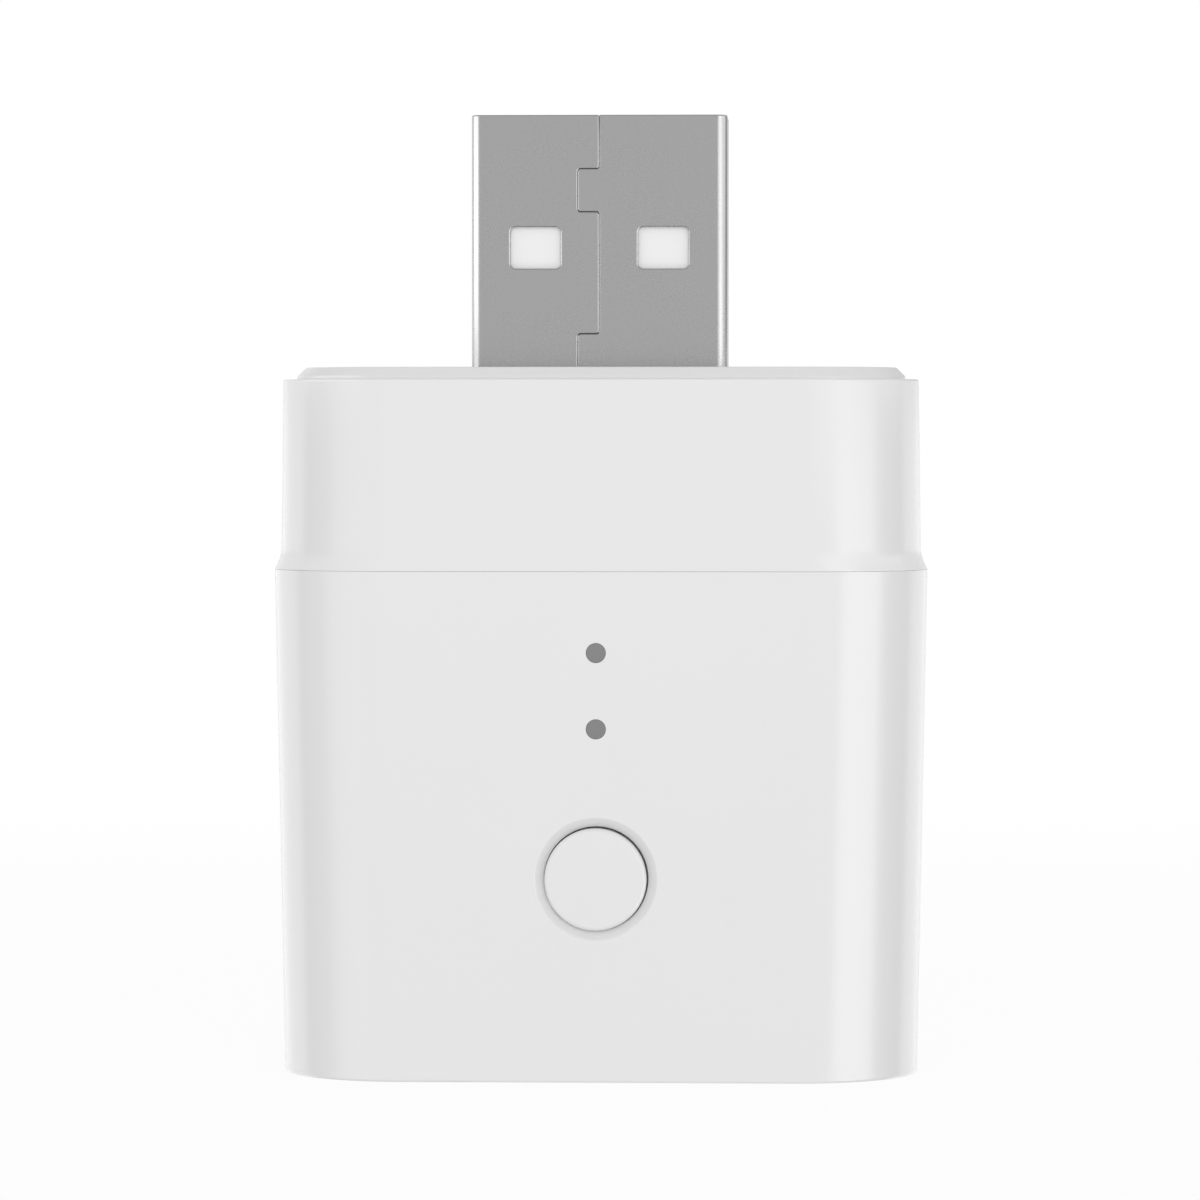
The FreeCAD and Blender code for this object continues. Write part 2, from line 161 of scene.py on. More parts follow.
def pick_level_face(piece, level, facing):
    """Selects the flat face at one height that looks up (1) or down (-1)."""
    pick_faces(piece, lambda middle, normal: near(middle.z, level * mm) and normal.z * facing > square_on)


def extrude(x, y, z):
    """Draws the selected face out by so many millimetres."""
    bpy.ops.mesh.extrude_region_move(TRANSFORM_OT_translate={"value": (x * mm, y * mm, z * mm)})


def inset(width, rise=0):
    """Makes a border of one width inside the selected face, and lifts the face by rise."""
    bpy.ops.mesh.inset(thickness=width * mm, depth=rise * mm, use_even_offset=True)


def move_ends(piece, level, outwards):
    """Moves the two round ends of the outline at one height away from the middle."""
    for side in (-1, 1):
        pick_verts(piece, lambda spot: near(spot.z, level * mm) and side * spot.x > 0)
        bpy.ops.transform.translate(value=(side * outwards * mm, 0, 0))


def combine(piece, other, operation):
    """Cuts the other mesh out of the piece (DIFFERENCE) or joins it on (UNION), which uses it up."""
    clear_selection()
    bpy.context.view_layer.objects.active = piece
    piece.select_set(True)
    modifier = piece.modifiers.new("combine", "BOOLEAN")
    modifier.operation = operation
    modifier.solver = "EXACT"
    modifier.object = other
    bpy.ops.object.modifier_apply(modifier=modifier.name)
    bpy.data.objects.remove(other)


def soft_profile(corners, steps):
    """Points along (radius, depth, rounding) corners, with an arc where a corner has a rounding."""
    points = []
    for index, (across, along, rounding) in enumerate(corners):
        corner = Vector((across, along))
        if not rounding:
            points.append(corner)
            continue
        back = (Vector(corners[index - 1][:2]) - corner).normalized()
        ahead = (Vector(corners[index + 1][:2]) - corner).normalized()
        half = back.angle(ahead) / 2
        middle = corner + (back + ahead).normalized() * (rounding / math.sin(half))
        start = (corner + back * (rounding / math.tan(half)) - middle).normalized()
        end = (corner + ahead * (rounding / math.tan(half)) - middle).normalized()
        for step in range(steps + 1):
            points.append(middle + start.slerp(end, step / steps) * rounding)
    return points


def draw_line(name, places):
    """A chain of vertices through the places, open for editing and all selected."""
    clear_selection()
    bpy.ops.mesh.primitive_plane_add(size=mm, location=places[0])
    piece = bpy.context.object
    piece.name = name
    bpy.ops.object.transform_apply(location=True, rotation=False, scale=False)
    bpy.ops.object.mode_set(mode="EDIT")
    bpy.ops.mesh.select_mode(type="VERT")
    bpy.ops.mesh.select_all(action="SELECT")
    bpy.ops.mesh.merge(type="CENTER")
    for before, after in zip(places, places[1:]):
        bpy.ops.mesh.extrude_vertices_move(TRANSFORM_OT_translate={"value": after - before})
    bpy.ops.mesh.select_all(action="SELECT")
    return piece


def turn(name, profile, height):
    """A round solid turned about a line that runs from front to back. Profile points are (radius, depth)."""
    piece = draw_line(name, [Vector((across, along, height)) * mm for across, along in profile])
    centre = (0, 0, height * mm)
    bpy.ops.mesh.spin(steps=turning_steps, angle=2 * math.pi, center=centre, axis=(0, 1, 0))
    bpy.ops.mesh.select_all(action="SELECT")
    bpy.ops.mesh.remove_doubles(threshold=micrometre)
    bpy.ops.mesh.normals_make_consistent(inside=False)
    bpy.ops.object.mode_set(mode="OBJECT")
    return piece


def bar(name, radius, length, middle, level, depth):
    """A round bar that lies from left to right, centred at middle."""
    clear_selection()
    centre = (middle * mm, depth * mm, level * mm)
    bpy.ops.mesh.primitive_cylinder_add(
        vertices=32, radius=radius * mm, depth=length * mm, location=centre, rotation=(0, math.pi / 2, 0)
    )
    piece = bpy.context.object
    piece.name = name
    bpy.ops.object.transform_apply(location=True, rotation=True, scale=False)
    return piece


def smooth(piece, limit=sharp_angle):
    """Shades the piece smoothly up to an angle in degrees, with its flat faces kept flat to the eye."""
    clear_selection()
    bpy.context.view_layer.objects.active = piece
    piece.select_set(True)
    bpy.ops.object.shade_smooth_by_angle(angle=math.radians(limit))
    modifier = piece.modifiers.new("flat faces", "WEIGHTED_NORMAL")
    modifier.keep_sharp = True
    bpy.ops.object.modifier_apply(modifier=modifier.name)


def add_sockets(group, wanted, side):
    """Adds named sockets to a node group, as (name, kind, value)."""
    for name, kind, value in wanted:
        socket = group.interface.new_socket(name=name, in_out=side, socket_type=kind)
        if value is not None:
            socket.default_value = value


def place(tree, kind, **settings):
    """Adds a node with some of its settings."""
    node = tree.nodes.new(kind)
    for name, value in settings.items():
        setattr(node, name, value)
    return node


def sum_of(tree, first, second, operation="MULTIPLY"):
    """A sum on two values, each a socket or a number."""
    node = place(tree, "ShaderNodeMath", operation=operation)
    for socket, value in zip(node.inputs, (first, second)):
        if isinstance(value, (int, float)):
            socket.default_value = value
        else:
            tree.links.new(value, socket)
    return node.outputs[0]


def make_moulded_grain():
    """The skin of a moulded plastic: faint broad clouds of tone, and a fine grain from the mould's steel."""
    group = bpy.data.node_groups.new("moulded grain", "ShaderNodeTree")
    add_sockets(group, (
        ("Color", "NodeSocketColor", (0.8, 0.8, 0.8, 1)),
        ("Tone Spread", "NodeSocketFloat", 0.01),
        ("Roughness", "NodeSocketFloat", 0.3),
        ("Roughness Spread", "NodeSocketFloat", 0.05),
        ("Grain Scale", "NodeSocketFloat", 7000.0),
    ), "INPUT")
    add_sockets(group, (
        ("Color", "NodeSocketColor", None),
        ("Roughness", "NodeSocketFloat", None),
        ("Height", "NodeSocketFloat", None),
    ), "OUTPUT")
    inside = place(group, "NodeGroupInput")
    out = place(group, "NodeGroupOutput")
    where = place(group, "ShaderNodeTexCoord")
    clouds = place(group, "ShaderNodeTexNoise")
    clouds.inputs["Scale"].default_value = 160
    clouds.inputs["Detail"].default_value = 3
    grain = place(group, "ShaderNodeTexNoise")
    grain.inputs["Detail"].default_value = 2
    for texture in (clouds, grain):
        group.links.new(where.outputs["Object"], texture.inputs["Vector"])
    group.links.new(inside.outputs["Grain Scale"], grain.inputs["Scale"])
    swing = sum_of(group, clouds.outputs["Fac"], 0.5, "SUBTRACT")
    tone = sum_of(group, sum_of(group, swing, inside.outputs["Tone Spread"]), 1.0, "ADD")
    scaled = place(group, "ShaderNodeVectorMath", operation="SCALE")
    group.links.new(inside.outputs["Color"], scaled.inputs[0])
    group.links.new(tone, scaled.inputs["Scale"])
    fine = sum_of(group, grain.outputs["Fac"], 0.5, "SUBTRACT")
    rough = sum_of(group, sum_of(group, fine, swing, "ADD"), inside.outputs["Roughness Spread"])
    group.links.new(scaled.outputs[0], out.inputs["Color"])
    group.links.new(sum_of(group, inside.outputs["Roughness"], rough, "ADD"), out.inputs["Roughness"])
    group.links.new(grain.outputs["Fac"], out.inputs["Height"])
    return group


moulded_grain = make_moulded_grain()


def start_material(name, metallic=0.0):
    """A material with its main shader, ready for its colour."""
    material = bpy.data.materials.new(name)
    material.use_nodes = True
    shader = material.node_tree.nodes["Principled BSDF"]
    shader.inputs["Metallic"].default_value = metallic
    return material, material.node_tree, shader


def add_effect(tree, shader, group, bump, depth, **values):
    """Places an effect in a material and feeds its colour, roughness and height to the shader."""
    effect = place(tree, "ShaderNodeGroup", node_tree=group)
    for name, value in values.items():
        effect.inputs[name.replace("_", " ")].default_value = value
    relief = place(tree, "ShaderNodeBump")
    relief.inputs["Strength"].default_value = bump
    relief.inputs["Distance"].default_value = depth * mm
    tree.links.new(effect.outputs["Height"], relief.inputs["Height"])
    tree.links.new(relief.outputs["Normal"], shader.inputs["Normal"])
    tree.links.new(effect.outputs["Roughness"], shader.inputs["Roughness"])
    tree.links.new(effect.outputs["Color"], shader.inputs["Base Color"])
    return effect


def make_housing_white():
    """The satin white plastic of both shells."""
    material, tree, shader = start_material("housing white")
    add_effect(
        tree, shader, moulded_grain, 0.25, 0.003, Color=(0.775, 0.775, 0.775, 1), Tone_Spread=0.012,
        Roughness=0.23, Roughness_Spread=0.05, Grain_Scale=6500,
    )
    return material


def finish_piece(piece, material, node, body):
    """Gives the piece its finish and seats it in the frame in place of its CAD node."""
    piece.data.materials.clear()
    piece.data.materials.append(material)
    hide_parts(node)
    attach(piece, body)


def box_of(node):
    """The lowest and highest corners of a CAD node, in millimetres."""
    return [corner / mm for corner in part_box(node)]


shell_low, shell_high = box_of("lower_shell")
shell_depth = shell_high.y - shell_low.y
corner_radius = (shell_depth - side_flat) / 2
front = shell_low.y
front_inside = front + shell_wall
seam_low = shell_high.z

lower_shell = start_box("lower_shell_moulding", shell_low, shell_high)
round_upright_edges(lower_shell, corner_radius, corner_steps)
move_ends(lower_shell, 0, -side_draft)
soften_rim(lower_shell, 0, base_edge, steps=5)
soften_rim(lower_shell, seam_low, seam_edge, steps=3)
pick_level_face(lower_shell, seam_low, 1)
inset(shell_wall - rebate_depth - seam_edge)
extrude(0, 0, -rebate_below_seam)
inset(rebate_depth)
extrude(0, 0, shell_floor - seam_low + rebate_below_seam)

board_low, board_high = box_of("main_board")
for side in (-1, 1):
    inner = side * (board_high.x - rail_grip)
    outer = side * (shell_high.x - side_draft - shell_wall / 2)
    rail = start_box(
        "rail",
        (min(inner, outer), board_low.y - rail_fit - rail_rib, shell_floor / 2),
        (max(inner, outer), board_high.y + rail_fit + rail_rib, rail_top),
    )
    edge = side * (board_high.x + rail_fit)
    groove = start_box(
        "groove",
        (min(0, edge), board_low.y - rail_fit, board_low.z),
        (max(0, edge), board_high.y + rail_fit, rail_top + cutter_reach),
    )
    combine(rail, groove, "DIFFERENCE")
    combine(lower_shell, rail, "UNION")

skirt_across = shell_high.y - shell_wall + rebate_depth - skirt_fit
bead_level = seam_low - bead_below_seam
groove_radius = bead_radius + bead_clearance
groove_length = bead_length + 2 * bead_clearance
for face in (-1, 1):
    for side in (-1, 1):
        middle = side * bead_from_middle
        groove = bar("groove", groove_radius, groove_length, middle, bead_level, face * skirt_across)
        combine(lower_shell, groove, "DIFFERENCE")

button_low, button_high = box_of("button_cap")
button_level = (button_low.z + button_high.z) / 2
hole_radius = button_radius + button_clearance
ring_corners = (
    (2 * ring_radius, front, 0),
    (ring_radius, front, ring_rounding),
    (hole_radius, front + ring_depth, 0),
)
ring_lip = soft_profile(ring_corners, steps=10)[1:]
bore_profile = [(0, front - cutter_reach), (ring_lip[0].x, front - cutter_reach)]
bore_profile += [(point.x, point.y) for point in ring_lip]
bore_profile += [(hole_radius, front_inside + cutter_reach), (0, front_inside + cutter_reach)]
combine(lower_shell, turn("bore", bore_profile, button_level), "DIFFERENCE")

drill_radius = dot_radius + dot_fit
drill_profile = (
    (0, front - cutter_reach),
    (drill_radius, front - cutter_reach),
    (drill_radius, front_inside + cutter_reach),
    (0, front_inside + cutter_reach),
)
dot_levels = {}
for node in ("light_guide_lower", "light_guide_upper"):
    guide_low, guide_high = box_of(node)
    dot_levels[node] = (guide_low.z + guide_high.z) / 2
    combine(lower_shell, turn("drill", drill_profile, dot_levels[node]), "DIFFERENCE")

smooth(lower_shell)
housing_white = make_housing_white()
finish_piece(lower_shell, housing_white, "lower_shell", "housing")


# Upper shell
# The shorter housing shell: one white moulding that flares at its sides down to the seam and has a narrow
# ledge, a low chamfered lip and the plug's slot on top. Below the seam its skirt reaches into the lower
# shell, where four small ridges click into grooves.

seam_gap = 0.009
shoulder_step = 0.316
shoulder_height = 0.97
shoulder_curve = 1.6
shoulder_steps = 8
neck_draft = 0.105
ledge_width = 0.64
ledge_edge = 0.1
lip_foot = 0.14
lip_chamfer = 0.42
lip_edge = 0.07
skirt_wall = 0.9
skirt_root = 1.0
ceiling_thickness = 1.6
slot_clearance = 0.1
slot_edge = 0.05
slot_slack = 0.01
plug_width = 12.0
plug_depth = 4.5
plug_bend = 0.5
hollow_step = (0.33, 0.75)

cap_low, cap_high = box_of("upper_shell")
seam_high = seam_low + seam_gap
shoulder_top = seam_high + shoulder_height
ledge_level = cap_high.z - lip_foot - lip_chamfer
ceiling_level = cap_high.z - ceiling_thickness
slot_half = (plug_width / 2 + slot_clearance, plug_depth / 2 + slot_clearance)


def shoulder_offset(share):
    """How far the flare stands out at a share of its height."""
    return shoulder_step * (1 - share) ** shoulder_curve


def on_slot_rim(a, b):
    """Whether an edge is part of the slot's rim on top of the lip."""
    inside = abs(a.x) < (slot_half[0] + slot_slack) * mm and abs(a.y) < (slot_half[1] + slot_slack) * mm
    return inside and near(a.z, cap_high.z * mm) and near(b.z, cap_high.z * mm)


rise = shoulder_height / shoulder_steps
upper_shell = start_box(
    "upper_shell_moulding", (cap_low.x, cap_low.y, seam_high), (cap_high.x, cap_high.y, seam_high + rise)
)
round_upright_edges(upper_shell, corner_radius, corner_steps)
for step in range(1, shoulder_steps + 1):
    level = seam_high + step * rise
    if step > 1:
        pick_level_face(upper_shell, level - rise, 1)
        extrude(0, 0, rise)
    drawn_in = shoulder_offset((step - 1) / shoulder_steps) - shoulder_offset(step / shoulder_steps)
    move_ends(upper_shell, level, -drawn_in)
pick_level_face(upper_shell, shoulder_top, 1)
extrude(0, 0, ledge_level - shoulder_top)
move_ends(upper_shell, ledge_level, -neck_draft)
soften_rim(upper_shell, seam_high, seam_edge, steps=3)
soften_rim(upper_shell, ledge_level, ledge_edge, steps=5)
pick_level_face(upper_shell, ledge_level, 1)
inset(ledge_width - ledge_edge)
extrude(0, 0, lip_foot)
inset(lip_chamfer, lip_chamfer)
soften_rim(upper_shell, ledge_level + lip_foot, lip_edge, steps=4)
soften_rim(upper_shell, cap_high.z, lip_edge, steps=4)

# The skirt's inside goes up to its root, where a flat step widens the hollow of the shell above it.
skirt_outside = shell_wall - rebate_depth + skirt_fit
skirt_inside = skirt_outside + skirt_wall
pick_level_face(upper_shell, seam_high, -1)
inset(skirt_outside - seam_edge)
extrude(0, 0, cap_low.z - seam_high)
inset(skirt_wall)
extrude(0, 0, seam_high + skirt_root - cap_low.z)
extrude(0, 0, 0)
widening = (
    1 + hollow_step[0] / (shell_high.x - skirt_inside),
    1 + hollow_step[1] / (shell_high.y - skirt_inside),
    1,
)
bpy.ops.transform.resize(value=widening, center_override=(0, 0, 0))
extrude(0, 0, ceiling_level - seam_high - skirt_root)

slot = start_box(
    "slot",
    (-slot_half[0], -slot_half[1], ceiling_level - cutter_reach),
    (slot_half[0], slot_half[1], cap_high.z + cutter_reach),
)
round_upright_edges(slot, plug_bend + slot_clearance, steps=10)
combine(upper_shell, slot, "DIFFERENCE")
for face in (-1, 1):
    for side in (-1, 1):
        middle = side * bead_from_middle
        ridge = bar("ridge", bead_radius, bead_length, middle, bead_level, face * skirt_across)
        combine(upper_shell, ridge, "UNION")
bpy.ops.object.mode_set(mode="EDIT")
pick_edges(upper_shell, on_slot_rim)
bevel(slot_edge, steps=3)
smooth(upper_shell)
finish_piece(upper_shell, housing_white, "upper_shell", "housing")


# Push button
# A round cap moulded in the same white plastic, with a softly rounded rim. A flange behind the wall keeps
# it in its hole, and a stem behind the flange presses the tactile switch.

button_rim = 0.2
flange_clearance = 0.05
flange_thickness = 0.7
stem_radius = 1.2
moulded_edge = 0.08
button_play = (-0.031, -0.038)


def make_button_white():
    """The same white plastic as the shells, with a slightly finer grain."""
    material, tree, shader = start_material("button white")
    add_effect(
        tree, shader, moulded_grain, 0.2, 0.003, Color=(0.775, 0.775, 0.775, 1), Tone_Spread=0.008,
        Roughness=0.23, Roughness_Spread=0.04, Grain_Scale=8000,
    )
    return material


flange_front = front_inside + flange_clearance
flange_back = flange_front + flange_thickness
cap_profile = soft_profile(
    (
        (0, button_low.y, 0),
        (button_radius, button_low.y, button_rim),
        (button_radius, flange_front, 0),
        (button_high.x, flange_front, moulded_edge),
        (button_high.x, flange_back, moulded_edge),
        (stem_radius, flange_back, 0),
        (stem_radius, button_high.y, moulded_edge),
        (0, button_high.y, 0),
    ),
    steps=8,
)
button = turn("push_button", cap_profile, button_level)
bpy.ops.object.mode_set(mode="EDIT")
bpy.ops.mesh.select_all(action="SELECT")
bpy.ops.transform.translate(value=(button_play[0] * mm, 0, button_play[1] * mm))
smooth(button)
finish_piece(button, make_button_white(), "button_cap", "button")


# Light guides
# Two rods of smoke-grey clear plastic. Their ends show as the small grey dots, flush with the front, and
# they bring out the light of the two lamps on the board. Each is pressed in from behind up to its flange.

dot_edge = 0.02
guide_flange_radius = 1.0
guide_flange_thickness = 0.5
guide_tail_radius = 0.75


def make_dot_grey():
    """Smooth smoked plastic, faintly uneven in tone."""
    material, tree, shader = start_material("dot grey")
    add_effect(
        tree, shader, moulded_grain, 0.1, 0.002, Color=(0.21, 0.21, 0.21, 1), Tone_Spread=0.05,
        Roughness=0.25, Roughness_Spread=0.04, Grain_Scale=9000,
    )
    return material


dot_grey = make_dot_grey()
for node, level in dot_levels.items():
    guide_low, guide_high = box_of(node)
    guide_profile = soft_profile(
        (
            (0, guide_low.y, 0),
            (dot_radius, guide_low.y, dot_edge),
            (dot_radius, front_inside, 0),
            (guide_flange_radius, front_inside, 0),
            (guide_flange_radius, front_inside + guide_flange_thickness, moulded_edge),
            (guide_tail_radius, front_inside + guide_flange_thickness, 0),
            (guide_tail_radius, guide_high.y, moulded_edge),
            (0, guide_high.y, 0),
        ),
        steps=4,
    )
    guide = turn(node.replace("light_guide", "dot"), guide_profile, level)
    smooth(guide)
    finish_piece(guide, dot_grey, node, "housing")


# Plug shell
# A sheet of nickel-plated steel folded round into a flat tube. Its two edges meet in front in a seam with
# two dovetail steps, two windows are punched through its front and two through its back, and two ears
# behind the housing's lip are soldered to the board.

plug_sheet = 0.3
seam_width = 0.004
seam_jog = 1.0
seam_jog_starts = (2.52, 10.26)
seam_jog_height = 2.02
seam_corner = 0.13
window_width = 2.37
window_height = 1.95
window_corner = 0.25
window_spacing = 6.0
window_offset = 0.015
window_from_tip = 6.225
seam_edge_rounding = 0.065
window_edge = 0.075
sheet_sharp_angle = 40
sheet_bevel_angle = 50
ear_height = 2.0
ear_above_rear = 0.5

plug_low, plug_high = box_of("usb_shell")


def make_seam_blade():
    """The thin upright band, with rounded dovetail steps, that parts the sheet along its seam."""
    corners = [(0, plug_high.z + cutter_reach)]
    for start in seam_jog_starts:
        top = plug_high.z - start
        bottom = max(top - seam_jog_height, plug_low.z - cutter_reach)
        corners += [(0, top), (-seam_jog, top), (-seam_jog, bottom), (0, bottom)]
    corners.append((0, plug_low.z - cutter_reach))
    last = len(corners) - 1
    soft = [(x, z, seam_corner if 0 < index < last else 0) for index, (x, z) in enumerate(corners)]
    path = [Vector((point.x, -plug_depth, point.y)) * mm for point in soft_profile(soft, steps=5)]
    blade = draw_line("seam_blade", path)
    bpy.ops.mesh.extrude_region_move(TRANSFORM_OT_translate={"value": (0, plug_depth * mm, 0)})
    bpy.ops.object.mode_set(mode="OBJECT")
    modifier = blade.modifiers.new("width", "SOLIDIFY")
    modifier.thickness = seam_width * mm
    modifier.offset = 0
    modifier.use_even_offset = True
    bpy.ops.object.modifier_apply(modifier=modifier.name)
    bpy.ops.object.mode_set(mode="EDIT")
    bpy.ops.mesh.select_all(action="SELECT")
    bpy.ops.mesh.normals_make_consistent(inside=False)
    bpy.ops.object.mode_set(mode="OBJECT")
    return blade


def round_sheet_edges(piece, width, steps):
    """Rounds all the sharp edges of a bent sheet, which is the active object."""
    modifier = piece.modifiers.new("sheet edges", "BEVEL")
    modifier.width = width * mm
    modifier.segments = steps
    modifier.limit_method = "ANGLE"
    modifier.angle_limit = math.radians(sheet_bevel_angle)
    modifier.use_clamp_overlap = False
    bpy.ops.object.modifier_apply(modifier=modifier.name)


def round_deep_edges(piece, radius, steps):
    """Rounds the edges that run from front to back."""
    pick_edges(piece, lambda a, b: near(a.x, b.x) and near(a.z, b.z))
    bevel(radius, steps)


def make_rolled_sheet():
    """The skin of a plated metal sheet: fine even speckle, faint rolling lines and broad clouds of gloss."""
    group = bpy.data.node_groups.new("rolled sheet", "ShaderNodeTree")
    add_sockets(group, (
        ("Color", "NodeSocketColor", (0.5, 0.5, 0.5, 1)),
        ("Tone Spread", "NodeSocketFloat", 0.1),
        ("Roughness", "NodeSocketFloat", 0.3),
        ("Roughness Spread", "NodeSocketFloat", 0.08),
        ("Speckle Scale", "NodeSocketFloat", 9000.0),
    ), "INPUT")
    add_sockets(group, (
        ("Color", "NodeSocketColor", None),
        ("Roughness", "NodeSocketFloat", None),
        ("Height", "NodeSocketFloat", None),
    ), "OUTPUT")
    inside = place(group, "NodeGroupInput")
    out = place(group, "NodeGroupOutput")
    where = place(group, "ShaderNodeTexCoord")
    speckle = place(group, "ShaderNodeTexNoise")
    speckle.inputs["Detail"].default_value = 3
    group.links.new(where.outputs["Object"], speckle.inputs["Vector"])
    group.links.new(inside.outputs["Speckle Scale"], speckle.inputs["Scale"])
    stretch = place(group, "ShaderNodeMapping")
    stretch.inputs["Scale"].default_value = (5000, 5000, 180)
    group.links.new(where.outputs["Object"], stretch.inputs["Vector"])
    lines = place(group, "ShaderNodeTexNoise")
    lines.inputs["Scale"].default_value = 1
    group.links.new(stretch.outputs[0], lines.inputs["Vector"])
    clouds = place(group, "ShaderNodeTexNoise")
    clouds.inputs["Scale"].default_value = 260
    group.links.new(where.outputs["Object"], clouds.inputs["Vector"])
    fine = sum_of(group, speckle.outputs["Fac"], 0.5, "SUBTRACT")
    line = sum_of(group, sum_of(group, lines.outputs["Fac"], 0.5, "SUBTRACT"), 0.4)
    cloud = sum_of(group, clouds.outputs["Fac"], 0.5, "SUBTRACT")
    swing = sum_of(group, sum_of(group, fine, line, "ADD"), inside.outputs["Tone Spread"])
    scaled = place(group, "ShaderNodeVectorMath", operation="SCALE")
    group.links.new(inside.outputs["Color"], scaled.inputs[0])
    group.links.new(sum_of(group, swing, 1.0, "ADD"), scaled.inputs["Scale"])
    rough = sum_of(group, sum_of(group, fine, cloud, "ADD"), inside.outputs["Roughness Spread"])
    group.links.new(scaled.outputs[0], out.inputs["Color"])
    group.links.new(sum_of(group, inside.outputs["Roughness"], rough, "ADD"), out.inputs["Roughness"])
    group.links.new(sum_of(group, fine, line, "ADD"), out.inputs["Height"])
    return group


def make_metal(name, colour, roughness, spread):
    """A plated or bare metal sheet of one colour."""
    material, tree, shader = start_material(name, 1.0)
    add_effect(
        tree, shader, rolled_sheet, 0.035, 0.002, Color=(*colour, 1), Tone_Spread=spread,
        Roughness=roughness, Roughness_Spread=0.04, Speckle_Scale=8000,
    )
    return material


plug_half = plug_depth / 2
plug_shell = start_box(
    "plug_shell", (-plug_width / 2, -plug_half, plug_low.z), (plug_width / 2, plug_half, plug_high.z)
)
round_upright_edges(plug_shell, plug_bend, steps=12)
pick_faces(plug_shell, lambda middle, normal: abs(normal.z) > square_on)
bpy.ops.mesh.delete(type="FACE")
bpy.ops.object.mode_set(mode="OBJECT")
wall_modifier = plug_shell.modifiers.new("sheet", "SOLIDIFY")
wall_modifier.thickness = plug_sheet * mm
wall_modifier.offset = -1
wall_modifier.use_even_offset = True
bpy.ops.object.modifier_apply(modifier=wall_modifier.name)

combine(plug_shell, make_seam_blade(), "DIFFERENCE")
round_sheet_edges(plug_shell, seam_edge_rounding, steps=4)
for side in (-1, 1):
    inner = side * (plug_width / 2 - plug_sheet)
    outer = side * plug_high.x
    ear = start_box(
        "ear",
        (min(inner, outer), board_high.y, plug_low.z + ear_above_rear),
        (max(inner, outer), board_high.y + plug_sheet, plug_low.z + ear_above_rear + ear_height),
    )
    combine(plug_shell, ear, "UNION")
window_level = plug_high.z - window_from_tip
for side in (-1, 1):
    middle = side * window_spacing / 2 + window_offset
    punch = start_box(
        "punch",
        (middle - window_width / 2, -plug_depth, window_level - window_height / 2),
        (middle + window_width / 2, plug_depth, window_level + window_height / 2),
    )
    round_deep_edges(punch, window_corner, steps=8)
    combine(plug_shell, punch, "DIFFERENCE")
round_sheet_edges(plug_shell, window_edge, steps=3)
smooth(plug_shell, sheet_sharp_angle)

rolled_sheet = make_rolled_sheet()
plug_steel = make_metal("plug steel", (0.355, 0.355, 0.355), 0.28, 0.045)
finish_piece(plug_shell, plug_steel, "usb_shell", "housing")


# Plug insulator
# One white moulding inside the plug: a block that fills its rear end and a flat tongue along its front
# wall, which shows through the windows. The four contacts lie in the tongue's inner side.

def dress(node, material):
    """Gives a CAD node, whose shape is right as it is, its finish."""
    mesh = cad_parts[node].data
    mesh.materials.clear()
    mesh.materials.append(material)


def make_insulator_white():
    """A plain white moulding, less glossy than the housing."""
    material, tree, shader = start_material("insulator white")
    add_effect(
        tree, shader, moulded_grain, 0.2, 0.004, Color=(0.87, 0.87, 0.87, 1), Tone_Spread=0.01,
        Roughness=0.4, Roughness_Spread=0.06, Grain_Scale=6000,
    )
    return material


dress("usb_insulator", make_insulator_white())


# Plug contacts
# Four flat strips of gold-plated bronze along the tongue. Their tails lie on the back of the board, where
# they are soldered.

contact_gold = make_metal("contact gold", (0.83, 0.60, 0.26), 0.22, 0.05)
for node in ("usb_contact_power", "usb_contact_data_minus", "usb_contact_data_plus", "usb_contact_ground"):
    dress(node, contact_gold)


# Main board
# A plate of glass-fibre laminate with green lacquer on both faces and bare straw-coloured edges. It stands
# upright in the housing's rails, with the rear of the plug in its notch.

lacquer_roughness = 0.3
bare_edge_roughness = 0.75


